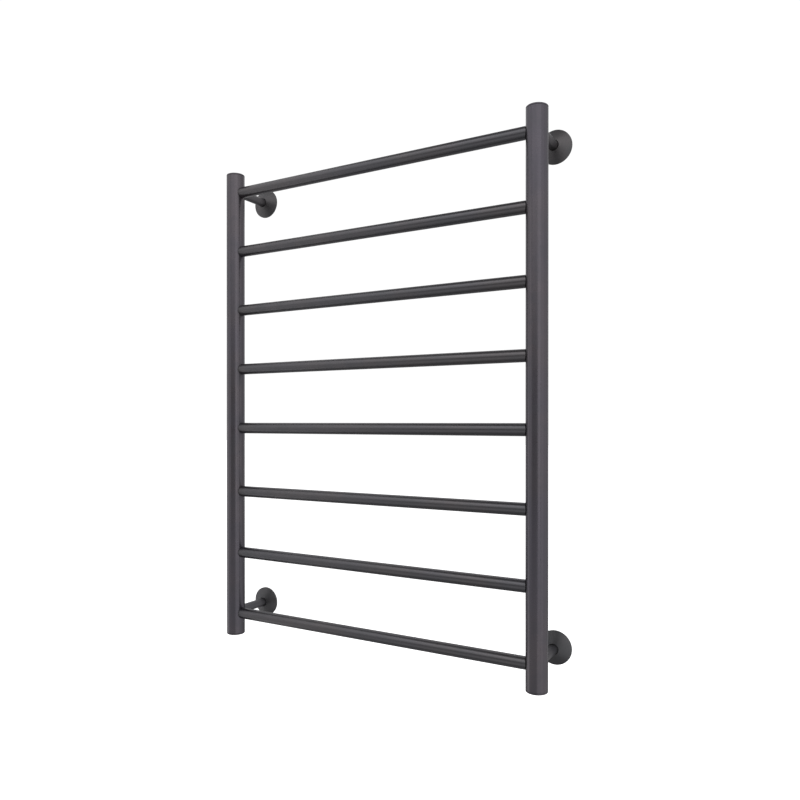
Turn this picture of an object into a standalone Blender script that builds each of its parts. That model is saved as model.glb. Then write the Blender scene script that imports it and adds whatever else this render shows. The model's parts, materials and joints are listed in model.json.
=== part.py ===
"""Wall-hung electric ladder towel warmer.

Two round uprights carry eight round crossbars, welded between them. Four round arms, welded to the backs of
the uprights, slip over the spigots of four wall plates, and a conical rosette covers each plate. A heating
cable runs through all the tubes.

Run it with: blender --background --python part.py

Metres. +X runs along the crossbars, +Y points into the wall and +Z is up. The origin lies on the wall plane,
at the centre of the four wall fixings, so the rail stands at negative Y.
"""

import math

import bmesh
import bpy
from mathutils import Quaternion, Vector

# Clearance between pieces that touch
GAP = 0.0003

# Ladder of tubes
OVERALL_WIDTH = 0.600
UPRIGHT_RADIUS = 0.016
UPRIGHT_WALL = 0.0015
CROSSBAR_RADIUS = 0.0095
CROSSBAR_WALL = 0.0012
UPPER_CROSSBARS = 5
LOWER_CROSSBARS = 3
UPPER_PITCH = 0.106
GROUP_PITCH = 0.114
LOWER_PITCH = 0.110
TOP_END_TO_CROSSBAR = 0.034
BOTTOM_END_TO_CROSSBAR = 0.038

# End caps of the uprights
CAP_THICKNESS = 0.0025
CAP_EDGE_RADIUS = 0.0013
CAP_SPIGOT_LENGTH = 0.006
CAP_SPIGOT_WALL = 0.0015

# Arms
UPRIGHT_TO_WALL = 0.085
TOP_END_TO_ARM = 0.030
BOTTOM_END_TO_ARM = 0.040
ARM_RADIUS = 0.0075
ARM_WALL = 0.0015

# Wall plates, each with two holes for wall screws
PLATE_IN_ROSETTE_CLEARANCE = 0.0035
PLATE_THICKNESS = 0.003
SPIGOT_LENGTH = 0.022
SPIGOT_WALL = 0.0021
SCREW_HOLE_RADIUS = 0.0023
SINK_RADIUS = 0.0043

# Grub screws that lock the arms on the spigots
GRUB_RADIUS = 0.002
GRUB_LENGTH = 0.0034
GRUB_FROM_ARM_END = 0.0048
GRUB_BELOW_SURFACE = 0.0002
GRUB_SOCKET_RADIUS = 0.0011
GRUB_SOCKET_DEPTH = 0.0014

# Rosettes and the rubber rings that grip the arms
ROSETTE_RADIUS = 0.026
ROSETTE_RIM = 0.003
ROSETTE_CONE_HEIGHT = 0.009
ROSETTE_SHELL = 0.0015
ROSETTE_LIP = 0.0018
ROSETTE_HOLE_CLEARANCE = 0.0011
RING_SECTION_RADIUS = 0.001

# Heating cable and what it joins
CABLE_RADIUS = 0.0025
CABLE_BEND_RADIUS = 0.010
CABLE_END_MARGIN = 0.020
CABLE_RUN_IN_ARM = 0.0118
SPLICE_RADIUS = 0.0038
LIMITER_RADIUS = 0.0034
LIMITER_LENGTH = 0.014
GROMMET_LENGTH = 0.012
GROMMET_BORE_RADIUS = 0.0017
GROMMET_FLANGE = 0.0015
GROMMET_FLANGE_OVERHANG = 0.0014

# Sides of the round pieces, and steps of their arcs
TUBE_SIDES = 24
SMALL_SIDES = 16
SCREW_SIDES = 8
SOCKET_SIDES = 6
RING_SECTION_SIDES = 6
CABLE_BEVEL_RESOLUTION = 2
BEND_STEPS = 3
CAP_EDGE_STEPS = 2

# How far cutters reach past what they cut
CUT_BEYOND = 0.005
SINK_CUT_BEYOND = 0.0005

# Corners sharper than this, in degrees, shade as edges
SHARP_ANGLE = 30

# Worked out from the sizes above
UPRIGHT_X = OVERALL_WIDTH / 2 - UPRIGHT_RADIUS
UPRIGHT_BORE = UPRIGHT_RADIUS - UPRIGHT_WALL
CROSSBAR_BORE = CROSSBAR_RADIUS - CROSSBAR_WALL
ARM_BORE = ARM_RADIUS - ARM_WALL
OVERALL_HEIGHT = (
    TOP_END_TO_CROSSBAR
    + UPPER_PITCH * (UPPER_CROSSBARS - 1)
    + GROUP_PITCH
    + LOWER_PITCH * (LOWER_CROSSBARS - 1)
    + BOTTOM_END_TO_CROSSBAR
)
UPPER_ARM_Z = (OVERALL_HEIGHT - TOP_END_TO_ARM - BOTTOM_END_TO_ARM) / 2
LOWER_ARM_Z = -UPPER_ARM_Z
TOP_Z = UPPER_ARM_Z + TOP_END_TO_ARM
BOTTOM_Z = LOWER_ARM_Z - BOTTOM_END_TO_ARM
ARM_END_Y = -PLATE_THICKNESS - GAP
SPIGOT_RADIUS = ARM_BORE - GAP
SPIGOT_BORE = SPIGOT_RADIUS - SPIGOT_WALL
SPIGOT_END_Y = -PLATE_THICKNESS - SPIGOT_LENGTH
GRUB_Y = ARM_END_Y - GRUB_FROM_ARM_END
ROSETTE_DEPTH = ROSETTE_RIM + ROSETTE_CONE_HEIGHT
ROSETTE_HOLE = ARM_RADIUS + ROSETTE_HOLE_CLEARANCE
ROSETTE_INNER_RADIUS = ROSETTE_RADIUS - ROSETTE_SHELL
RING_CENTRE_RADIUS = ARM_RADIUS + GAP + RING_SECTION_RADIUS
PLATE_RADIUS = ROSETTE_INNER_RADIUS - PLATE_IN_ROSETTE_CLEARANCE
SCREW_FROM_ARM_AXIS = (SPIGOT_RADIUS + PLATE_RADIUS) / 2

# Fittings in line inside the lower right arm, from the wall plate's spigot to the upright's bore
GROMMET_BACK_Y = SPIGOT_END_Y - GAP
GROMMET_FRONT_Y = GROMMET_BACK_Y - GROMMET_FLANGE
LIMITER_BACK_Y = GROMMET_FRONT_Y - GAP
SPLICE_BACK_Y = LIMITER_BACK_Y - LIMITER_LENGTH - GAP
UPRIGHT_BORE_Y = UPRIGHT_BORE - UPRIGHT_TO_WALL
CABLE_START_Y = UPRIGHT_BORE_Y + CABLE_RUN_IN_ARM
SPLICE_LENGTH = SPLICE_BACK_Y - CABLE_START_Y - GAP

# Looks: base colour, roughness and metallic value
FINISHES = {
    "gunmetal": ((0.085, 0.083, 0.090), 0.38, 1.0),
    "zinc": ((0.62, 0.62, 0.60), 0.35, 1.0),
    "black_steel": ((0.03, 0.03, 0.03), 0.45, 0.9),
    "black_rubber": ((0.012, 0.012, 0.013), 0.80, 0.0),
    "red_silicone": ((0.45, 0.05, 0.03), 0.55, 0.0),
    "white_ceramic": ((0.75, 0.74, 0.70), 0.50, 0.0),
}


def clear_scene():
    for old in list(bpy.data.objects):
        bpy.data.objects.remove(old, do_unlink=True)


def material(finish):
    """The Principled material of a finish, made once."""
    if finish in bpy.data.materials:
        return bpy.data.materials[finish]
    colour, roughness, metallic = FINISHES[finish]
    made = bpy.data.materials.new(finish)
    made.use_nodes = True
    shader = made.node_tree.nodes["Principled BSDF"]
    shader.inputs["Base Color"].default_value = (*colour, 1.0)
    shader.inputs["Roughness"].default_value = roughness
    shader.inputs["Metallic"].default_value = metallic
    return made


def empty(name, location):
    """A named frame that pieces hang from."""
    frame = bpy.data.objects.new(name, None)
    frame.location = location
    frame.empty_display_size = 0.03
    bpy.context.scene.collection.objects.link(frame)
    return frame


def place(name, mesh, finish, parent, location=(0, 0, 0)):
    """An object of the mesh, at a location in its parent's frame."""
    piece = bpy.data.objects.new(name, mesh)
    piece.data.materials.clear()
    piece.data.materials.append(material(finish))
    piece.parent = parent
    piece.location = location
    bpy.context.scene.collection.objects.link(piece)
    return piece


def shade(mesh):
    """Smooth shading, with sharp edges kept."""
    mesh.shade_smooth()
    mesh.set_sharp_from_angle(angle=math.radians(SHARP_ANGLE))


def turned(name, profile, axis, sides, closed=False, off_step=0.0):
    """A mesh turned about an axis through the origin.

    The profile lists (radius, distance along the axis). A closed profile makes a ring, and an open one
    starts and ends on the axis. The corners of its sides start off_step of a side round from the frame's
    axes, so that a cutter's corners don't fall on the edges of what it cuts.
    """
    along = Vector(axis)
    out = Vector((0, 0, 1)) if axis[2] == 0 else Vector((1, 0, 0))
    out.rotate(Quaternion(along, 2 * math.pi / sides * off_step))
    bm = bmesh.new()
    corners = [bm.verts.new(out * radius + along * height) for radius, height in profile]
    pairs = list(zip(corners, corners[1:]))
    if closed:
        pairs.append((corners[-1], corners[0]))
    edges = [bm.edges.new(pair) for pair in pairs]
    bmesh.ops.spin(bm, geom=corners + edges, cent=(0, 0, 0), axis=along, angle=2 * math.pi,
                   steps=sides, use_merge=True)
    bmesh.ops.remove_doubles(bm, verts=bm.verts, dist=1e-6)
    bmesh.ops.recalc_face_normals(bm, faces=bm.faces)
    mesh = bpy.data.meshes.new(name)
    bm.to_mesh(mesh)
    bm.free()
    shade(mesh)
    return mesh


def rod(name, radius, start, end, axis, sides, off_step=0.0):
    """A solid cylinder along the axis."""
    outline = [(0, start), (radius, start), (radius, end), (0, end)]
    return turned(name, outline, axis, sides, off_step=off_step)


def tube(name, bore, radius, start, end, axis, sides):
    """A tube with both ends open."""
    outline = [(bore, start), (radius, start), (radius, end), (bore, end)]
    return turned(name, outline, axis, sides, closed=True)


def moved(mesh, offset):
    """The same mesh, its points shifted."""
    for vertex in mesh.vertices:
        vertex.co += Vector(offset)
    return mesh


def carved(mesh, *cutters):
    """The mesh with each cutter mesh taken out of it by a Boolean."""
    scene = bpy.context.scene
    body = bpy.data.objects.new(mesh.name, mesh)
    scene.collection.objects.link(body)
    helpers = [body]
    for cutter in cutters:
        tool = bpy.data.objects.new(cutter.name, cutter)
        tool.hide_render = True
        tool.display_type = "WIRE"
        scene.collection.objects.link(tool)
        helpers.append(tool)
        cut = body.modifiers.new(cutter.name, "BOOLEAN")
        cut.operation = "DIFFERENCE"
        cut.solver = "EXACT"
        cut.object = tool
    bpy.context.view_layer.update()
    graph = bpy.context.evaluated_depsgraph_get()
    result = bpy.data.meshes.new_from_object(body.evaluated_get(graph))
    result.name = mesh.name
    shade(result)
    for helper in helpers:
        bpy.data.objects.remove(helper, do_unlink=True)
    return result


def crossbar_heights():
    """Heights of the crossbars' axes, from the top down."""
    heights = [TOP_Z - TOP_END_TO_CROSSBAR]
    for _ in range(UPPER_CROSSBARS - 1):
        heights.append(heights[-1] - UPPER_PITCH)
    heights.append(heights[-1] - GROUP_PITCH)
    for _ in range(LOWER_CROSSBARS - 1):
        heights.append(heights[-1] - LOWER_PITCH)
    return heights


def upright_clearance(side):
    """The space that an upright fills, in the ladder's frame, with the gap round it."""
    cylinder = rod("upright_clearance", UPRIGHT_RADIUS + GAP, BOTTOM_Z, TOP_Z, (0, 0, 1), TUBE_SIDES)
    return moved(cylinder, (side * UPRIGHT_X, 0, 0))


def add_uprights(ladder):
    """Both upright tubes, with a hole at each crossbar and at each arm."""
    low = BOTTOM_Z + CAP_THICKNESS + GAP
    high = TOP_Z - CAP_THICKNESS - GAP
    hole_start = UPRIGHT_BORE / 2
    hole_end = UPRIGHT_RADIUS + CUT_BEYOND
    for name, side in (("left_upright", -1), ("right_upright", 1)):
        body = tube(name, UPRIGHT_BORE, UPRIGHT_RADIUS, low, high, (0, 0, 1), TUBE_SIDES)
        cutters = []
        for height in crossbar_heights():
            hole = rod("crossbar_hole", CROSSBAR_BORE, hole_start, hole_end, (-side, 0, 0), SMALL_SIDES)
            cutters.append(moved(hole, (0, 0, height)))
        for height in (UPPER_ARM_Z, LOWER_ARM_Z):
            hole = rod("arm_hole", ARM_BORE, hole_start, hole_end, (0, 1, 0), SMALL_SIDES)
            cutters.append(moved(hole, (0, 0, height)))
        place(name, carved(body, *cutters), "gunmetal", ladder, (side * UPRIGHT_X, 0, 0))


def add_crossbars(ladder):
    """The crossbars, their ends coped to the round of the uprights."""
    body = tube("crossbar", CROSSBAR_BORE, CROSSBAR_RADIUS, -UPRIGHT_X, UPRIGHT_X, (1, 0, 0), SMALL_SIDES)
    mesh = carved(body, upright_clearance(-1), upright_clearance(1))
    for number, height in enumerate(crossbar_heights(), start=1):
        place(f"crossbar_{number}", mesh, "gunmetal", ladder, (0, 0, height))


def cap_mesh(up):
    """An end cap: a disc with a rounded edge, and a hollow spigot that enters the upright's bore."""
    spigot = UPRIGHT_BORE - GAP
    outline = [(0, 0), (spigot - CAP_SPIGOT_WALL, 0), (spigot - CAP_SPIGOT_WALL, -CAP_SPIGOT_LENGTH),
               (spigot, -CAP_SPIGOT_LENGTH), (spigot, 0), (UPRIGHT_RADIUS, 0)]
    for step in range(CAP_EDGE_STEPS + 1):
        angle = math.pi / 2 * step / CAP_EDGE_STEPS
        outline.append((UPRIGHT_RADIUS - CAP_EDGE_RADIUS * (1 - math.cos(angle)),
                        CAP_THICKNESS - CAP_EDGE_RADIUS * (1 - math.sin(angle))))
    outline.append((0, CAP_THICKNESS))
    return turned("end_cap", outline, (0, 0, up), TUBE_SIDES)


def add_end_caps(ladder):
    """A cap at each end of both uprights."""
    for level, end, up in (("upper", TOP_Z, 1), ("lower", BOTTOM_Z, -1)):
        mesh = cap_mesh(up)
        for word, side in (("left", -1), ("right", 1)):
            place(f"{level}_{word}_end_cap", mesh, "gunmetal", ladder,
                  (side * UPRIGHT_X, 0, end - up * CAP_THICKNESS))


def grub_hole():
    """The hole that a grub screw stands in, through the underside of a wall, in the bracket's frame."""
    start = SPIGOT_BORE / 2
    end = ARM_RADIUS + CUT_BEYOND
    hole = rod("grub_hole", GRUB_RADIUS + GAP, start, end, (0, 0, -1), SCREW_SIDES, off_step=0.5)
    return moved(hole, (0, GRUB_Y, 0))


def arm_mesh():
    """An arm, coped to its upright, with the grub screw's hole at its wall end."""
    body = tube("arm", ARM_BORE, ARM_RADIUS, -UPRIGHT_TO_WALL, ARM_END_Y, (0, 1, 0), SMALL_SIDES)
    reach = ARM_RADIUS + CUT_BEYOND
    upright = rod("upright_clearance", UPRIGHT_RADIUS + GAP, -reach, reach, (0, 0, 1), TUBE_SIDES)
    return carved(body, moved(upright, (0, -UPRIGHT_TO_WALL, 0)), grub_hole())


def plate_mesh():
    """A wall plate: a disc with two 45 degree countersunk holes, and a hollow spigot that enters the arm."""
    outline = [(SPIGOT_BORE, 0), (PLATE_RADIUS, 0), (PLATE_RADIUS, -PLATE_THICKNESS),
               (SPIGOT_RADIUS, -PLATE_THICKNESS), (SPIGOT_RADIUS, SPIGOT_END_Y), (SPIGOT_BORE, SPIGOT_END_Y)]
    body = turned("wall_plate", outline, (0, 1, 0), TUBE_SIDES, closed=True)
    cut_front = -PLATE_THICKNESS - SINK_CUT_BEYOND
    sink_depth = SINK_RADIUS - SCREW_HOLE_RADIUS
    outline = [(0, cut_front), (SINK_RADIUS + SINK_CUT_BEYOND, cut_front),
               (SCREW_HOLE_RADIUS, sink_depth - PLATE_THICKNESS), (SCREW_HOLE_RADIUS, CUT_BEYOND),
               (0, CUT_BEYOND)]
    holes = []
    for side in (-1, 1):
        hole = turned("screw_hole", outline, (0, 1, 0), SCREW_SIDES, off_step=0.5)
        holes.append(moved(hole, (side * SCREW_FROM_ARM_AXIS, 0, 0)))
    return carved(body, *holes, grub_hole())


def grub_mesh():
    """A grub screw standing along Z, its socket opening downwards at the arm's surface."""
    low = -ARM_RADIUS + GRUB_BELOW_SURFACE
    body = rod("grub_screw", GRUB_RADIUS, low, low + GRUB_LENGTH, (0, 0, 1), SCREW_SIDES)
    socket_top = low + GRUB_SOCKET_DEPTH
    socket = rod("socket", GRUB_SOCKET_RADIUS, low - CUT_BEYOND, socket_top, (0, 0, 1), SOCKET_SIDES)
    return carved(body, socket)


def rosette_mesh():
    """A hollow conical cover with a hub, grooved for the rubber ring, behind its hole."""
    slope = ROSETTE_CONE_HEIGHT / (ROSETTE_RADIUS - ROSETTE_HOLE)
    shell_along_y = ROSETTE_SHELL * math.hypot(1, slope)
    groove_radius = RING_CENTRE_RADIUS + RING_SECTION_RADIUS + GAP
    hub_radius = groove_radius + ROSETTE_SHELL
    groove_front = -ROSETTE_DEPTH + ROSETTE_LIP
    groove_back = groove_front + 2 * (RING_SECTION_RADIUS + GAP)
    hub_back = groove_back + ROSETTE_SHELL

    def under_cone(radius):
        return -ROSETTE_RIM - (ROSETTE_RADIUS - radius) * slope + shell_along_y

    outline = [
        (ROSETTE_INNER_RADIUS, 0), (ROSETTE_INNER_RADIUS, under_cone(ROSETTE_INNER_RADIUS)),
        (hub_radius, under_cone(hub_radius)), (hub_radius, hub_back), (ROSETTE_HOLE, hub_back),
        (ROSETTE_HOLE, groove_back),
        (groove_radius, groove_back), (groove_radius, groove_front), (ROSETTE_HOLE, groove_front),
        (ROSETTE_HOLE, -ROSETTE_DEPTH), (ROSETTE_RADIUS, -ROSETTE_RIM), (ROSETTE_RADIUS, 0),
    ]
    return turned("rosette", outline, (0, 1, 0), TUBE_SIDES, closed=True)


def ring_mesh():
    """The rubber ring in the rosette's groove."""
    centre_y = -ROSETTE_DEPTH + ROSETTE_LIP + GAP + RING_SECTION_RADIUS
    outline = []
    for corner in range(RING_SECTION_SIDES):
        angle = 2 * math.pi * corner / RING_SECTION_SIDES
        outline.append((RING_CENTRE_RADIUS + RING_SECTION_RADIUS * math.cos(angle),
                        centre_y + RING_SECTION_RADIUS * math.sin(angle)))
    return turned("rosette_ring", outline, (0, 1, 0), SMALL_SIDES, closed=True)


def add_brackets():
    """Four brackets, each with a rosette and its ring on an empty that slides along the arm's axis."""
    arm = arm_mesh()
    plate = plate_mesh()
    grub = grub_mesh()
    rosette = rosette_mesh()
    ring = ring_mesh()
    for level, height in (("upper", UPPER_ARM_Z), ("lower", LOWER_ARM_Z)):
        for word, side in (("left", -1), ("right", 1)):
            where = f"{level}_{word}"
            bracket = empty(f"{where}_bracket", (side * UPRIGHT_X, 0, height))
            slide = empty(f"{where}_rosette_slide", bracket.location)
            place(f"{where}_arm", arm, "gunmetal", bracket)
            place(f"{where}_wall_plate", plate, "zinc", bracket)
            place(f"{where}_grub_screw", grub, "black_steel", bracket, (0, GRUB_Y, 0))
            place(f"{where}_rosette", rosette, "gunmetal", slide)
            place(f"{where}_rosette_ring", ring, "black_rubber", slide)


def rounded(corners, radius):
    """A route's points, with an arc at each inner corner."""
    points = [corners[0]]
    for before, corner, after in zip(corners, corners[1:], corners[2:]):
        back = (before - corner).normalized()
        ahead = (after - corner).normalized()
        half_angle = back.angle(ahead) / 2
        tangent = radius / math.tan(half_angle)
        centre = corner + (back + ahead).normalized() * (radius / math.sin(half_angle))
        start = corner + back * tangent - centre
        end = corner + ahead * tangent - centre
        for step in range(BEND_STEPS + 1):
            points.append(centre + start.slerp(end, step / BEND_STEPS) * radius)
    points.append(corners[-1])
    return points


def cable_route():
    """The cable's corners: from the lower right arm, back and forth through the crossbars, up to the top."""
    on_bore = CROSSBAR_BORE - CABLE_RADIUS - GAP
    lay_in_arm = LOWER_ARM_Z - (ARM_BORE - SPLICE_RADIUS - GAP)
    heights = [height - on_bore for height in reversed(crossbar_heights())]
    corners = [Vector((UPRIGHT_X, CABLE_START_Y, lay_in_arm)),
               Vector((UPRIGHT_X, UPRIGHT_BORE_Y, lay_in_arm)),
               Vector((UPRIGHT_X, -UPRIGHT_TO_WALL, heights[0]))]
    side = -1
    for lower, upper in zip(heights, heights[1:]):
        corners.append(Vector((side * UPRIGHT_X, -UPRIGHT_TO_WALL, lower)))
        corners.append(Vector((side * UPRIGHT_X, -UPRIGHT_TO_WALL, upper)))
        side = -side
    last_x = UPRIGHT_X - UPRIGHT_RADIUS - CABLE_END_MARGIN
    corners.append(Vector((side * last_x, -UPRIGHT_TO_WALL, heights[-1])))
    return corners


def add_cable(ladder):
    """The heating cable as a round curve with closed ends."""
    offset = ladder.location
    curve = bpy.data.curves.new("heating_cable", "CURVE")
    curve.dimensions = "3D"
    curve.bevel_depth = CABLE_RADIUS
    curve.bevel_resolution = CABLE_BEVEL_RESOLUTION
    curve.use_fill_caps = True
    points = rounded(cable_route(), CABLE_BEND_RADIUS)
    spline = curve.splines.new("POLY")
    spline.points.add(len(points) - 1)
    for target, point in zip(spline.points, points):
        target.co = (*(point - offset), 1.0)
    place("heating_cable", curve, "red_silicone", ladder)


def add_cable_fittings():
    """The grommet, the thermal limiter and the splice, in line inside the lower right arm."""
    bracket = bpy.data.objects["lower_right_bracket"]
    sleeve = SPIGOT_BORE - GAP
    flange = sleeve + GROMMET_FLANGE_OVERHANG
    sleeve_end_y = GROMMET_BACK_Y + GROMMET_LENGTH
    outline = [(GROMMET_BORE_RADIUS, GROMMET_FRONT_Y), (flange, GROMMET_FRONT_Y), (flange, GROMMET_BACK_Y),
               (sleeve, GROMMET_BACK_Y), (sleeve, sleeve_end_y), (GROMMET_BORE_RADIUS, sleeve_end_y)]
    grommet = turned("cable_grommet", outline, (0, 1, 0), SCREW_SIDES, closed=True)
    place("cable_grommet", grommet, "black_rubber", bracket)
    for name, radius, back, length, finish in (
        ("thermal_limiter", LIMITER_RADIUS, LIMITER_BACK_Y, LIMITER_LENGTH, "white_ceramic"),
        ("cable_splice", SPLICE_RADIUS, SPLICE_BACK_Y, SPLICE_LENGTH, "red_silicone"),
    ):
        mesh = rod(name, radius, back - length, back, (0, 1, 0), SCREW_SIDES)
        place(name, mesh, finish, bracket, (0, 0, -(ARM_BORE - radius - GAP)))


def main():
    clear_scene()
    ladder = empty("ladder", (0, -UPRIGHT_TO_WALL, 0))
    bpy.context.view_layer.update()
    add_uprights(ladder)
    add_crossbars(ladder)
    add_end_caps(ladder)
    add_brackets()
    add_cable(ladder)
    add_cable_fittings()


main()
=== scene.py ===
import json
import math

import bmesh
import bpy
from mathutils import Euler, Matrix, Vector


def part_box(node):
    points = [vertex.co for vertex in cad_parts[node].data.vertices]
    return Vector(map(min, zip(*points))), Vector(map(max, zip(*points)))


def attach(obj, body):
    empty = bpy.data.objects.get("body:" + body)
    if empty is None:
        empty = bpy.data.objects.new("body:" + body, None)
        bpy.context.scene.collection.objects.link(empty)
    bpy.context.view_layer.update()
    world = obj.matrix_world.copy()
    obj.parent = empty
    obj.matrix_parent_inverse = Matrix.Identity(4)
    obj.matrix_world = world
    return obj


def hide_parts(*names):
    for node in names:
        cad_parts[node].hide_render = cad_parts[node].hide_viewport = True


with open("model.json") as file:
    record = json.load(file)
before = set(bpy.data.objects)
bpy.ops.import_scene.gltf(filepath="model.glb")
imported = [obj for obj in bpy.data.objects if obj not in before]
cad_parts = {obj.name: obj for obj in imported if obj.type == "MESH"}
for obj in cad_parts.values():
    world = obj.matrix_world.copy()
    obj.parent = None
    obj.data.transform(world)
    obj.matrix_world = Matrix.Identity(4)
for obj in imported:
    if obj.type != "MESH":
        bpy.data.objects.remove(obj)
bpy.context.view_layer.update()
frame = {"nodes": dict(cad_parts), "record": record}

RECORD = frame["record"]
BODY_OF = {node: body for body, nodes in RECORD["behaviour"]["bodies"].items() for node in nodes}

X_AXIS = Vector((1, 0, 0))
Y_AXIS = Vector((0, 1, 0))
Z_AXIS = Vector((0, 0, 1))

# Sides of the round pieces, and steps of their rounded edges
UPRIGHT_SIDES = 112
BAR_SIDES = 72
SMALL_SIDES = 48
SOCKET_SIDES = 6
RING_SECTION_SIDES = 16
ARC_STEPS = 4
JOINT_STEPS = 5

# Edges sharper than this are shaded as edges
SHARP_ANGLE = math.radians(35)

# Lengths are in metres. Holes, sockets and sections are given by their radius.
# A radius below this is a point on the axis:
ON_AXIS = 1e-7

# The gap between pieces that touch
GAP = 0.0003

# Tubes, with the rounded edges at their ends and at the joints
UPRIGHT_WALL = 0.0015
BAR_WALL = 0.0012
ARM_WALL = 0.0015
TUBE_EDGE = 0.00022
JOINT_EDGE = 0.0007

# End caps
CAP_EDGE = 0.0013
CAP_SPIGOT_LENGTH = 0.006

# Grub screws, and their holes down through the arm and the wall plate's spigot
GRUB_HOLE = 0.0023
GRUB_HOLE_LENGTH = 0.03
GRUB_SOCKET = 0.0011
GRUB_SOCKET_DEPTH = 0.0014
GRUB_EDGE = 0.0003

# Wall plates
SPIGOT_WALL = 0.0021
SCREW_HOLE = 0.0023
SINK = 0.0043
PLATE_EDGE = 0.0004

# Rosettes and their rubber rings
RIM = 0.003
RIM_EDGE = 0.0005
SHELL = 0.0015
LIP = 0.0018
FINE_EDGE = 0.0003
HOLE_CLEARANCE = 0.0005
RING_SECTION = 0.001

# Scales of the noises per metre, and the pitch of the grinding turns
BROAD_PATCHES = 7.0
CLOUDS = 42.0
WIPES = 160.0
FINE_GRAIN = 520.0
TURN_PITCH = 0.00035

# Heights of the gunmetal's bumps
TURN_BUMP = 0.000006
GRAIN_BUMP = 0.000015

CORNERS = [(level, word) for level in ("upper", "lower") for word in ("left", "right")]


# ---------------------------------------------------------------- materials

class Nodes:
    """Adds nodes to a material's or the world's node tree."""

    def __init__(self, tree):
        self.tree = tree

    def add(self, kind, **settings):
        node = self.tree.nodes.new(kind)
        for key, value in settings.items():
            setattr(node, key, value)
        return node

    def link(self, source, target):
        self.tree.links.new(source, target)

    def put(self, target, value):
        """Links a socket, or sets a number."""
        if isinstance(value, bpy.types.NodeSocket):
            self.link(value, target)
        else:
            target.default_value = value

    def math(self, operation, first, second):
        node = self.add("ShaderNodeMath", operation=operation)
        self.put(node.inputs[0], first)
        self.put(node.inputs[1], second)
        return node.outputs[0]

    def between(self, value, low, high, low_out=0.0, high_out=1.0):
        """A smooth step from low_out to high_out as the value goes from low to high."""
        node = self.add("ShaderNodeMapRange", interpolation_type="SMOOTHSTEP")
        self.put(node.inputs["Value"], value)
        node.inputs["From Min"].default_value = low
        node.inputs["From Max"].default_value = high
        node.inputs["To Min"].default_value = low_out
        node.inputs["To Max"].default_value = high_out
        return node.outputs["Result"]

    def noise(self, scale, detail=3.0, rough=0.55, offset=(0, 0, 0)):
        """Noise over the object's coordinates. The offset keeps two patterns apart."""
        place = self.add("ShaderNodeTexCoord")
        shift = self.add("ShaderNodeMapping")
        shift.inputs["Location"].default_value = offset
        noise = self.add("ShaderNodeTexNoise")
        noise.inputs["Scale"].default_value = scale
        noise.inputs["Detail"].default_value = detail
        noise.inputs["Roughness"].default_value = rough
        self.link(place.outputs["Object"], shift.inputs["Vector"])
        self.link(shift.outputs["Vector"], noise.inputs["Vector"])
        return noise.outputs["Fac"]

    def turns(self, pitch):
        """Fine rings round a piece: noise along its outline, which is the UV map's second number."""
        place = self.add("ShaderNodeUVMap", uv_map="UVMap")
        split = self.add("ShaderNodeSeparateXYZ")
        noise = self.add("ShaderNodeTexNoise", noise_dimensions="1D")
        noise.inputs["Detail"].default_value = 2.0
        noise.inputs["Scale"].default_value = 1 / pitch
        self.link(place.outputs["UV"], split.inputs[0])
        self.link(split.outputs["Y"], noise.inputs["W"])
        return noise.outputs["Fac"]

    def mix(self, factor, first, second):
        node = self.add("ShaderNodeMix", data_type="RGBA")
        self.put(node.inputs[0], factor)
        for socket, colour in ((node.inputs[6], first), (node.inputs[7], second)):
            self.put(socket, colour if isinstance(colour, bpy.types.NodeSocket) else (*colour, 1.0))
        return node.outputs[2]

    def bump(self, height, distance, strength, normal=None):
        node = self.add("ShaderNodeBump")
        node.inputs["Strength"].default_value = strength
        node.inputs["Distance"].default_value = distance
        self.link(height, node.inputs["Height"])
        if normal is not None:
            self.link(normal, node.inputs["Normal"])
        return node.outputs["Normal"]


# The gunmetal's tints: main, warmer in broad patches, cooler in clouds, and worn grinding turns
TINTS = {
    "purple": (
        (0.113, 0.105, 0.123),
        (0.123, 0.111, 0.122),
        (0.106, 0.103, 0.117),
        (0.137, 0.128, 0.140),
    ),
    # This set is a lighter copy of the same gunmetal, for the bars and arms: painted light, standing in for
    # the light that they catch
    "lit_neutral": (
        (0.125, 0.122, 0.132),
        (0.135, 0.127, 0.132),
        (0.117, 0.119, 0.127),
        (0.150, 0.146, 0.152),
    ),
    "dark": (
        (0.108, 0.107, 0.112),
        (0.117, 0.111, 0.114),
        (0.100, 0.104, 0.108),
        (0.130, 0.126, 0.130),
    ),
}

# The gloss is stretched at a right angle to the radial tangent, given as a share of a turn
QUARTER_TURN = 0.25


def new_material(name, metallic):
    made = bpy.data.materials.new(name)
    made.use_nodes = True
    shader = made.node_tree.nodes["Principled BSDF"]
    shader.inputs["Metallic"].default_value = metallic
    return made, shader, Nodes(made.node_tree)


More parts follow.
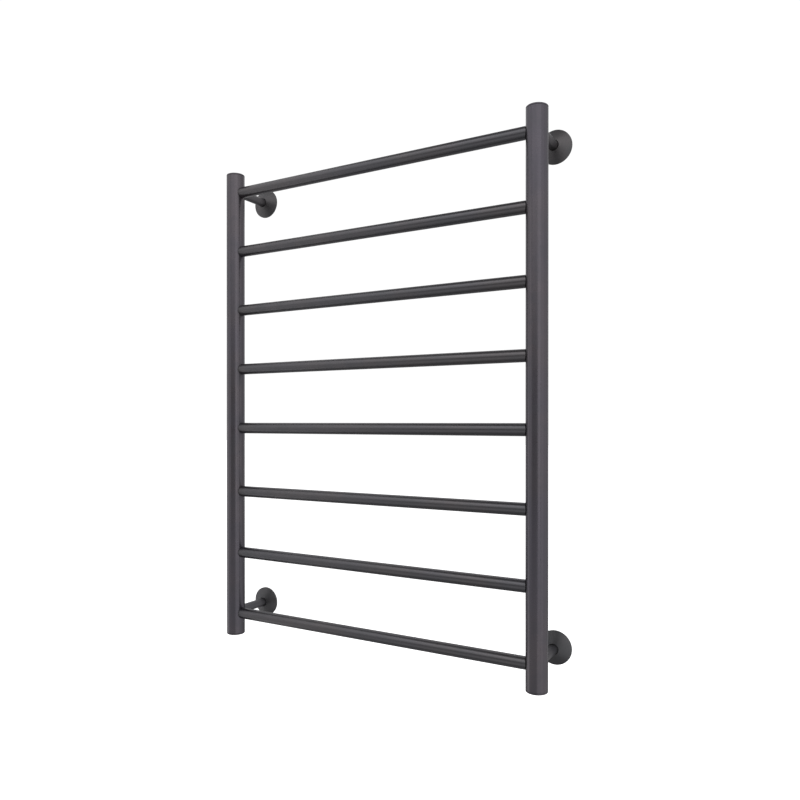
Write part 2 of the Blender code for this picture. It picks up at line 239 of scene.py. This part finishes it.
def gunmetal(name, axis, tints, stretch, rough):
    """Satin gunmetal on steel ground in turns round the axis, which stretch its gloss along the axis."""
    main, warm, cool, bare = TINTS[tints]
    made, shader, n = new_material(name, 1.0)
    broad = n.noise(BROAD_PATCHES, detail=2.0)
    cloud = n.noise(CLOUDS, detail=5.0, offset=(3.1, 1.7, 5.3))
    wipe = n.noise(WIPES, offset=(8.0, 2.0, 0.5))
    grain = n.noise(FINE_GRAIN, detail=2.0)
    tint = n.mix(n.between(broad, 0.38, 0.62), main, warm)
    tint = n.mix(n.between(cloud, 0.42, 0.72, 0.0, 0.6), tint, cool)
    turns = n.turns(TURN_PITCH)
    worn = n.math("MULTIPLY", n.between(turns, 0.50, 0.72), n.between(wipe, 0.35, 0.65, 0.05, 0.30))
    n.link(n.mix(worn, tint, bare), shader.inputs["Base Color"])
    smudge = n.between(cloud, 0.32, 0.68, rough - 0.03, rough + 0.03)
    fine = n.between(turns, 0.30, 0.70, -0.02, 0.02)
    n.link(n.math("ADD", smudge, fine), shader.inputs["Roughness"])
    ground = n.bump(turns, TURN_BUMP, 0.5)
    n.link(n.bump(grain, GRAIN_BUMP, 0.2, ground), shader.inputs["Normal"])
    tangent = n.add("ShaderNodeTangent", direction_type="RADIAL", axis=axis)
    n.link(tangent.outputs[0], shader.inputs["Tangent"])
    shader.inputs["Anisotropic"].default_value = stretch
    shader.inputs["Anisotropic Rotation"].default_value = QUARTER_TURN
    return made


def plain_metal(name, dark, light, rough, scale, bump):
    """Plated or oxidised steel: cloudy colour, spangle and small pits."""
    made, shader, n = new_material(name, 1.0)
    cloud = n.noise(scale, detail=5.0)
    pits = n.noise(scale * 9, detail=3.0, offset=(2.0, 4.0, 1.0))
    colour = n.mix(n.between(cloud, 0.35, 0.65), dark, light)
    worn = n.between(pits, 0.60, 0.72, 0.0, 0.5)
    n.link(n.mix(worn, colour, dark), shader.inputs["Base Color"])
    n.link(n.between(cloud, 0.30, 0.70, rough[0], rough[1]), shader.inputs["Roughness"])
    n.link(n.bump(pits, bump, 0.5), shader.inputs["Normal"])
    return made


def soft_plastic(name, dark, light, rough, scale, bump):
    """Rubber, silicone or moulded plastic: mottled colour with a fine grain."""
    made, shader, n = new_material(name, 0.0)
    cloud = n.noise(scale, detail=4.0)
    grain = n.noise(scale * 12, detail=3.0, rough=0.65, offset=(1.0, 5.0, 2.0))
    colour = n.mix(n.between(cloud, 0.32, 0.68), dark, light)
    dust = n.between(grain, 0.58, 0.75, 0.0, 0.35)
    n.link(n.mix(dust, colour, light), shader.inputs["Base Color"])
    n.link(n.between(grain, 0.30, 0.70, rough[0], rough[1]), shader.inputs["Roughness"])
    n.link(n.bump(grain, bump, 0.5), shader.inputs["Normal"])
    return made


MATERIALS = {
    "upright": gunmetal("gunmetal_upright", "Z", "purple", stretch=0.55, rough=0.30),
    # The bars and arms take the lighter tint set: painted light, standing in for the light that they catch
    "bar": gunmetal("gunmetal_bar", "X", "lit_neutral", stretch=0.70, rough=0.32),
    "arm": gunmetal("gunmetal_arm", "Y", "lit_neutral", stretch=0.30, rough=0.36),
    "rosette": gunmetal("gunmetal_rosette", "Y", "dark", stretch=0.0, rough=0.46),
    "zinc_plate": plain_metal(
        "zinc_plate", (0.48, 0.49, 0.50), (0.66, 0.66, 0.63),
        rough=(0.28, 0.45), scale=90.0, bump=0.00004
    ),
    "black_steel": plain_metal(
        "black_steel", (0.02, 0.02, 0.022), (0.05, 0.048, 0.045),
        rough=(0.35, 0.55), scale=400.0, bump=0.00002
    ),
    "black_rubber": soft_plastic(
        "black_rubber", (0.010, 0.010, 0.011), (0.024, 0.023, 0.022),
        rough=(0.62, 0.85), scale=300.0, bump=0.00004
    ),
    "red_silicone": soft_plastic(
        "red_silicone", (0.36, 0.035, 0.02), (0.50, 0.07, 0.045),
        rough=(0.42, 0.62), scale=220.0, bump=0.00003
    ),
    "white_ceramic": soft_plastic(
        "white_ceramic", (0.66, 0.65, 0.60), (0.78, 0.77, 0.73),
        rough=(0.40, 0.60), scale=260.0, bump=0.00003
    ),
}


# ---------------------------------------------------------------- mesh making

def finish_mesh(name, bm):
    bmesh.ops.recalc_face_normals(bm, faces=bm.faces)
    mesh = bpy.data.meshes.new(name)
    bm.to_mesh(mesh)
    bm.free()
    mesh.shade_smooth()
    mesh.set_sharp_from_angle(angle=SHARP_ANGLE)
    return mesh


def piece(name, mesh, material, *nodes):
    """A shown piece that stands for CAD nodes of one body."""
    made = bpy.data.objects.new(name, mesh)
    made.data.materials.clear()
    made.data.materials.append(MATERIALS[material])
    bpy.context.scene.collection.objects.link(made)
    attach(made, BODY_OF[nodes[0]])
    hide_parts(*nodes)


def softened(profile, closed):
    """The profile's points, with an arc at each corner whose rounding, its third number, isn't zero."""
    count = len(profile)
    points = []
    for i, (radius, along, rounding) in enumerate(profile):
        corner = Vector((radius, along))
        if rounding == 0 or (not closed and i in (0, count - 1)):
            points.append(corner)
            continue
        before = Vector(profile[i - 1][:2]) - corner
        after = Vector(profile[(i + 1) % count][:2]) - corner
        before.normalize()
        after.normalize()
        half = math.acos(max(-1.0, min(1.0, before.dot(after)))) / 2
        centre = corner + (before + after).normalized() * (rounding / math.sin(half))
        start = corner + before * (rounding / math.tan(half)) - centre
        end = corner + after * (rounding / math.tan(half)) - centre
        first = math.atan2(start.y, start.x)
        turn = (math.atan2(end.y, end.x) - first + math.pi) % (2 * math.pi) - math.pi
        for step in range(ARC_STEPS + 1):
            angle = first + turn * step / ARC_STEPS
            points.append(centre + Vector((math.cos(angle), math.sin(angle))) * rounding)
    return points


def lathe(name, profile, centre, axis, sides, closed):
    """A mesh turned about an axis through the centre.

    The profile lists (radius, place along the axis, rounding).
    """
    out = Z_AXIS if abs(axis.z) < 0.5 else X_AXIS
    across = axis.cross(out)
    points = softened(profile, closed)
    bm = bmesh.new()
    rings = []
    for point in points:
        if point.x < ON_AXIS:
            rings.append([bm.verts.new(centre + axis * point.y)])
            continue
        ring = []
        for side in range(sides):
            angle = 2 * math.pi * side / sides
            ring.append(bm.verts.new(centre + axis * point.y
                                     + (out * math.cos(angle) + across * math.sin(angle)) * point.x))
        rings.append(ring)
    lengths = [0.0]
    for first, second in zip(points, points[1:] + points[:1]):
        lengths.append(lengths[-1] + (second - first).length)
    skin(bm, rings, lengths, closed)
    return finish_mesh(name, bm)


def skin(bm, rings, lengths, closed):
    """Faces between each ring and the next, with a UV map of turn and length. A ring may be one point."""
    uv = bm.loops.layers.uv.new("UVMap")
    count = len(rings) if closed else len(rings) - 1
    for k in range(count):
        first, second = rings[k], rings[(k + 1) % len(rings)]
        sides = max(len(first), len(second))
        for side in range(sides):
            turn, next_turn = side / sides, (side + 1) / sides
            spots = {}
            for vertex, place in (
                (first[side % len(first)], (turn, lengths[k])),
                (first[(side + 1) % len(first)], (next_turn, lengths[k])),
                (second[(side + 1) % len(second)], (next_turn, lengths[k + 1])),
                (second[side % len(second)], (turn, lengths[k + 1])),
            ):
                spots.setdefault(vertex, place)
            face = bm.faces.new(list(spots))
            for loop, place in zip(face.loops, spots.values()):
                loop[uv].uv = place


def cut(mesh, *cutters):
    """The mesh with the cutter meshes taken out of it."""
    body = bpy.data.objects.new(mesh.name, mesh)
    bpy.context.scene.collection.objects.link(body)
    helpers = [body]
    for cutter in cutters:
        tool = bpy.data.objects.new(cutter.name, cutter)
        bpy.context.scene.collection.objects.link(tool)
        helpers.append(tool)
        boolean = body.modifiers.new("cut", "BOOLEAN")
        boolean.operation = "DIFFERENCE"
        boolean.solver = "EXACT"
        boolean.object = tool
    bpy.context.view_layer.update()
    graph = bpy.context.evaluated_depsgraph_get()
    result = bpy.data.meshes.new_from_object(body.evaluated_get(graph))
    for helper in helpers:
        bpy.data.objects.remove(helper, do_unlink=True)
    result.shade_smooth()
    result.set_sharp_from_angle(angle=SHARP_ANGLE)
    return result


class Post:
    """The upright that a bar or arm is welded to.

    It has a place along the bar's or arm's axis, a radius, and the side that the bar or arm leaves it on.
    """

    def __init__(self, along, radius, side):
        self.along = along
        self.radius = radius
        self.side = side

    def reach(self, sideways, distance):
        """Where a line that passes the post's axis sideways comes within a distance of its surface."""
        return self.along + self.side * math.sqrt((self.radius + distance) ** 2 - sideways ** 2)


def end_rings(stop, thickness):
    """The rings at a tube's end, from the outside to the bore.

    Each is (where, growth of the radius, distance to a post).
    """
    rings = []
    if isinstance(stop, Post):
        for step in range(JOINT_STEPS + 1):
            angle = math.pi / 2 * step / JOINT_STEPS
            growth = -JOINT_EDGE * (1 - math.cos(angle))
            rings.append((stop, growth, GAP + JOINT_EDGE * (1 - math.sin(angle))))
        rings.append((stop, -thickness, GAP))
        return rings
    into = 1 if stop < 0 else -1
    for step in range(ARC_STEPS + 1):
        angle = math.pi / 2 * step / ARC_STEPS
        growth = -TUBE_EDGE * (1 - math.cos(angle))
        rings.append((stop + into * TUBE_EDGE * (1 - math.sin(angle)), growth, None))
    rings.append((stop, -thickness, None))
    return rings


def coped_tube(name, centre, along, radius, thickness, start, end, sides):
    """A tube from start to end. Each is a Post that the tube is coped to, or a number where it ends flat."""
    across = Z_AXIS.cross(along)
    bm = bmesh.new()
    made = []
    for stop, growth, distance in end_rings(start, thickness)[::-1] + end_rings(end, thickness):
        ring = []
        for side in range(sides):
            angle = 2 * math.pi * side / sides
            sideways = (radius + growth) * math.cos(angle)
            height = (radius + growth) * math.sin(angle)
            place = stop if distance is None else stop.reach(sideways, distance)
            ring.append(bm.verts.new(centre + along * place + across * sideways + Z_AXIS * height))
        made.append(ring)
    lengths = [0.0]
    for first, second in zip(made, made[1:] + made[:1]):
        lengths.append(lengths[-1] + (second[0].co - first[0].co).length)
    skin(bm, made, lengths, True)
    return finish_mesh(name, bm)


# ---------------------------------------------------------------- the rail

def radius_of(node, axis=0):
    """Half of a round node's size along X, or along the axis with the given number."""
    low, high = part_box(node)
    return (high[axis] - low[axis]) / 2


def middle(node):
    low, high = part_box(node)
    return (Vector(low) + Vector(high)) / 2


def level_foot(node):
    """The point on an upright node's axis at the height of the origin."""
    centre = middle(node)
    return Vector((centre.x, centre.y, 0))


def wall_foot(node):
    """The point on a bracket node's axis that lies on the wall."""
    centre = middle(node)
    return Vector((centre.x, 0, centre.z))


def add_uprights():
    for word in ("left", "right"):
        node = f"{word}_upright"
        low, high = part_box(node)
        radius = radius_of(node)
        bore = radius - UPRIGHT_WALL
        profile = [
            (bore, low[2], 0),
            (radius, low[2], TUBE_EDGE),
            (radius, high[2], TUBE_EDGE),
            (bore, high[2], 0),
        ]
        mesh = lathe(f"{node}_tube", profile, level_foot(node), Z_AXIS, UPRIGHT_SIDES, True)
        piece(f"{node}_tube", mesh, "upright", node)


def add_caps():
    for level, word in CORNERS:
        node = f"{level}_{word}_end_cap"
        upright = f"{word}_upright"
        low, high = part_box(node)
        tube_low, tube_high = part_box(upright)
        radius = radius_of(upright)
        up = 1 if level == "upper" else -1
        top = high[2] if up > 0 else -low[2]
        seat = (tube_high[2] if up > 0 else -tube_low[2]) + GAP
        spigot = radius - UPRIGHT_WALL - GAP
        hollow = spigot - UPRIGHT_WALL
        profile = [
            (0, seat, 0),
            (hollow, seat, 0),
            (hollow, seat - CAP_SPIGOT_LENGTH, 0),
            (spigot, seat - CAP_SPIGOT_LENGTH, TUBE_EDGE),
            (spigot, seat, 0),
            (radius, seat, TUBE_EDGE),
            (radius, top, CAP_EDGE),
            (0, top, 0),
        ]
        mesh = lathe(f"{node}_disc", profile, level_foot(upright), Z_AXIS * up, UPRIGHT_SIDES, False)
        piece(f"{node}_disc", mesh, "upright", node)


def add_crossbars():
    left = middle("left_upright").x
    right = middle("right_upright").x
    number = 1
    while f"crossbar_{number}" in frame["nodes"]:
        node = f"crossbar_{number}"
        centre = middle(node)
        radius = radius_of(node, 2)
        start = Post(left - centre.x, radius_of("left_upright"), 1)
        end = Post(right - centre.x, radius_of("right_upright"), -1)
        mesh = coped_tube(f"{node}_tube", centre, X_AXIS, radius, BAR_WALL, start, end, BAR_SIDES)
        piece(f"{node}_tube", mesh, "bar", node)
        number += 1


def grub_cutter(level, word, centre, radius):
    """A cylinder that starts half the radius below the centre and runs down, for the grub screw's hole."""
    grub = middle(f"{level}_{word}_grub_screw")
    start = Vector((centre.x, grub.y, centre.z - radius / 2))
    profile = [(0, 0, 0), (GRUB_HOLE, 0, 0), (GRUB_HOLE, GRUB_HOLE_LENGTH, 0), (0, GRUB_HOLE_LENGTH, 0)]
    return lathe("grub_cutter", profile, start, -Z_AXIS, SMALL_SIDES, False)


def add_arms():
    for level, word in CORNERS:
        node = f"{level}_{word}_arm"
        upright = f"{word}_upright"
        centre = wall_foot(node)
        radius = radius_of(node)
        start = Post(middle(upright).y, radius_of(upright), 1)
        _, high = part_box(node)
        mesh = coped_tube(f"{node}_tube", centre, Y_AXIS, radius, ARM_WALL, start, high[1], BAR_SIDES)
        hole = grub_cutter(level, word, centre, radius)
        piece(f"{node}_tube", cut(mesh, hole), "arm", node)


def add_grub_screws():
    for level, word in CORNERS:
        node = f"{level}_{word}_grub_screw"
        low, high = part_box(node)
        centre = middle(node)
        radius = radius_of(node)
        length = high[2] - low[2]
        foot = Vector((centre.x, centre.y, low[2]))
        profile = [(0, 0, 0), (radius, 0, GRUB_EDGE), (radius, length, GRUB_EDGE), (0, length, 0)]
        body = lathe(f"{node}_screw", profile, foot, Z_AXIS, SMALL_SIDES, False)
        profile = [
            (0, -length, 0),
            (GRUB_SOCKET, -length, 0),
            (GRUB_SOCKET, GRUB_SOCKET_DEPTH, 0),
            (0, GRUB_SOCKET_DEPTH, 0),
        ]
        socket = lathe("socket", profile, foot, Z_AXIS, SOCKET_SIDES, False)
        piece(f"{node}_screw", cut(body, socket), "black_steel", node)


def screw_cutter(place, face):
    """A countersunk hole from the plate's face to its back."""
    sink_depth = SINK - SCREW_HOLE
    profile = [
        (0, face - GAP, 0),
        (SINK + GAP, face - GAP, 0),
        (SCREW_HOLE, face + sink_depth, 0),
        (SCREW_HOLE, SINK, 0),
        (0, SINK, 0),
    ]
    return lathe("screw_hole", profile, place, Y_AXIS, SMALL_SIDES, False)


def add_plates():
    for level, word in CORNERS:
        node = f"{level}_{word}_wall_plate"
        arm = f"{level}_{word}_arm"
        centre = wall_foot(node)
        radius = radius_of(node)
        low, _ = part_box(node)
        _, arm_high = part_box(arm)
        face = arm_high[1] + GAP
        spigot = radius_of(arm) - ARM_WALL - GAP
        bore = spigot - SPIGOT_WALL
        profile = [
            (bore, 0, PLATE_EDGE),
            (radius, 0, PLATE_EDGE),
            (radius, face, PLATE_EDGE),
            (spigot, face, 0),
            (spigot, low[1], PLATE_EDGE),
            (bore, low[1], PLATE_EDGE),
        ]
        body = lathe(f"{node}_disc", profile, centre, Y_AXIS, UPRIGHT_SIDES, True)
        screw_place = (spigot + radius) / 2
        holes = [screw_cutter(centre + X_AXIS * side * screw_place, face) for side in (-1, 1)]
        holes.append(grub_cutter(level, word, centre, bore))
        piece(f"{node}_disc", cut(body, *holes), "zinc_plate", node)


def add_rubber_ring(node, radius):
    section = []
    for step in range(RING_SECTION_SIDES):
        angle = 2 * math.pi * step / RING_SECTION_SIDES
        section.append((radius + RING_SECTION * math.cos(angle), RING_SECTION * math.sin(angle), 0))
    mesh = lathe(f"{node}_torus", section, middle(node), Y_AXIS, BAR_SIDES, True)
    piece(f"{node}_torus", mesh, "black_rubber", node)


def add_rosettes():
    for level, word in CORNERS:
        node = f"{level}_{word}_rosette"
        radius = radius_of(node)
        arm_radius = radius_of(f"{level}_{word}_arm")
        low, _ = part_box(node)
        front = low[1]
        hole = arm_radius + HOLE_CLEARANCE
        slope = (-front - RIM) / (radius - hole)
        shell = SHELL * math.hypot(1, slope)
        groove = arm_radius + GAP + 2 * RING_SECTION + GAP
        hub = groove + SHELL
        inner = radius - SHELL
        groove_front = front + LIP
        groove_back = groove_front + 2 * (RING_SECTION + GAP)
        hub_back = groove_back + SHELL
        profile = [
            (inner, 0, FINE_EDGE),
            (inner, shell - RIM - (radius - inner) * slope, 0),
            (hub, shell - RIM - (radius - hub) * slope, 0),
            (hub, hub_back, FINE_EDGE),
            (hole, hub_back, FINE_EDGE),
            (hole, groove_back, 0),
            (groove, groove_back, 0),
            (groove, groove_front, 0),
            (hole, groove_front, 0),
            (hole, front, FINE_EDGE),
            (radius, -RIM, RIM_EDGE),
            (radius, 0, FINE_EDGE),
        ]
        mesh = lathe(f"{node}_shell", profile, wall_foot(node), Y_AXIS, UPRIGHT_SIDES, True)
        piece(f"{node}_shell", mesh, "rosette", node)
        add_rubber_ring(f"{node}_ring", arm_radius + GAP + RING_SECTION)


# CAD pieces that stay as they are, inside the tubes, and their materials
KEPT_NODES = {
    "heating_cable": "red_silicone",
    "cable_splice": "red_silicone",
    "thermal_limiter": "white_ceramic",
    "cable_grommet": "black_rubber",
}


def dress_kept_nodes():
    for node, material in KEPT_NODES.items():
        shown = frame["nodes"][node]
        shown.data.materials.clear()
        shown.data.materials.append(MATERIALS[material])


# ---------------------------------------------------------------- studio

# The camera stands in front of the rail, to its right. Angles are in degrees.
CAMERA_PLACE = (0.6214, -1.0608, -0.0367)
CAMERA_PITCH = -0.16
CAMERA_TURN = 29.92
CAMERA_LENS = 32.16
CAMERA_SENSOR = 36.0
CAMERA_SHIFT = 0.0297
CAMERA_RANGE = (0.01, 50.0)

FLOOR_HEIGHT = -1.1
FLOOR_REACH = 30.0


def add_camera():
    data = bpy.data.cameras.new("camera")
    data.sensor_width = CAMERA_SENSOR
    data.lens = CAMERA_LENS
    data.shift_y = CAMERA_SHIFT
    data.clip_start, data.clip_end = CAMERA_RANGE
    camera = bpy.data.objects.new("camera", data)
    camera.location = CAMERA_PLACE
    camera.rotation_euler = Euler((math.radians(90 + CAMERA_PITCH), 0, math.radians(CAMERA_TURN)))
    bpy.context.scene.collection.objects.link(camera)
    bpy.context.scene.camera = camera


def add_floor():
    """A pale floor that the rail neither reflects nor is lit by."""
    bm = bmesh.new()
    for x, y in ((-1, -1), (1, -1), (1, 1), (-1, 1)):
        bm.verts.new((x * FLOOR_REACH, y * FLOOR_REACH, FLOOR_HEIGHT))
    bm.faces.new(bm.verts)
    mesh = bpy.data.meshes.new("floor")
    bm.to_mesh(mesh)
    bm.free()
    floor = bpy.data.objects.new("floor", mesh)
    made, shader, n = new_material("floor_paper", 0.0)
    grain = n.noise(2.0)
    n.link(n.mix(grain, (0.90, 0.90, 0.90), (0.94, 0.94, 0.94)), shader.inputs["Base Color"])
    shader.inputs["Roughness"].default_value = 0.9
    shader.inputs["Emission Color"].default_value = (1, 1, 1, 1)
    shader.inputs["Emission Strength"].default_value = 1.0
    floor.data.materials.append(made)
    floor.visible_glossy = False
    floor.visible_diffuse = False
    bpy.context.scene.collection.objects.link(floor)


# The softboxes stand at this distance from the rail's middle and face it
SOFTBOX_DISTANCE = 2.6
HEART = Vector((0, -0.05, 0))

# For each softbox: degrees round the rail from its front towards +X, degrees of height, and brightness
SOFTBOXES = {
    "right_front": ((30, 60), (-16, 60), 0.84),
    "right_front_low": ((30, 60), (-50, -16), 0.54),
    "right": ((60, 90), (-50, 60), 0.61),
    "right_back": ((90, 125), (-50, 60), 0.48),
    "back_right": ((125, 160), (-50, 60), 0.25),
    "left": ((-95, -65), (-50, 12), 0.64),
    "left_high": ((-95, -65), (12, 60), 0.48),
    "front_left": ((-65, -28), (-16, 12), 0.40),
    "front_left_high": ((-65, -28), (12, 60), 0.60),
    "high_front": ((-28, 30), (12, 30), 0.49),
    "top_front": ((-28, 30), (30, 60), 0.88),
    "low_front": ((-65, 30), (-50, -16), 0.25),
    "back": ((160, 200), (-16, 30), 0.30),
    "back_high": ((160, 200), (30, 60), 0.50),
    "back_left": ((-160, -110), (-16, 30), 0.25),
    "back_left_high": ((-160, -95), (30, 60), 0.42),
}


def add_softbox(name, around, upward, brightness):
    azimuth = math.radians(sum(around) / 2)
    elevation = math.radians(sum(upward) / 2)
    level_part = math.cos(elevation)
    outward = Vector((level_part * math.sin(azimuth), -level_part * math.cos(azimuth), math.sin(elevation)))
    half_width = math.radians(around[1] - around[0]) / 2
    half_height = math.radians(upward[1] - upward[0]) / 2
    data = bpy.data.lights.new(name, "AREA")
    data.shape = "RECTANGLE"
    data.size = 2 * SOFTBOX_DISTANCE * level_part * math.tan(half_width)
    data.size_y = 2 * SOFTBOX_DISTANCE * math.tan(half_height)
    data.energy = brightness * math.pi * data.size * data.size_y
    light = bpy.data.objects.new(name, data)
    light.location = HEART + outward * SOFTBOX_DISTANCE
    light.rotation_euler = (-outward).to_track_quat("-Z", "Y").to_euler()
    light.visible_camera = False
    bpy.context.scene.collection.objects.link(light)


def add_world():
    """A dim surround for what the rail reflects, and a white backdrop for the camera."""
    world = bpy.data.worlds.new("studio")
    bpy.context.scene.world = world
    world.use_nodes = True
    world.node_tree.nodes.clear()
    n = Nodes(world.node_tree)
    ambient = n.add("ShaderNodeBackground")
    ambient.inputs["Color"].default_value = (0.98, 0.98, 1.0, 1)
    ambient.inputs["Strength"].default_value = 0.30
    backdrop = n.add("ShaderNodeBackground")
    backdrop.inputs["Color"].default_value = (1, 1, 1, 1)
    backdrop.inputs["Strength"].default_value = 1.05
    path = n.add("ShaderNodeLightPath")
    choose = n.add("ShaderNodeMixShader")
    n.link(path.outputs["Is Camera Ray"], choose.inputs[0])
    n.link(ambient.outputs[0], choose.inputs[1])
    n.link(backdrop.outputs[0], choose.inputs[2])
    output = n.add("ShaderNodeOutputWorld")
    n.link(choose.outputs[0], output.inputs[0])


bpy.context.scene.view_settings.view_transform = "Standard"
add_camera()
add_world()
for softbox, (around, upward, brightness) in SOFTBOXES.items():
    add_softbox(softbox, around, upward, brightness)
add_floor()
add_uprights()
add_caps()
add_crossbars()
add_arms()
add_grub_screws()
add_plates()
add_rosettes()
dress_kept_nodes()

bpy.context.view_layer.update()
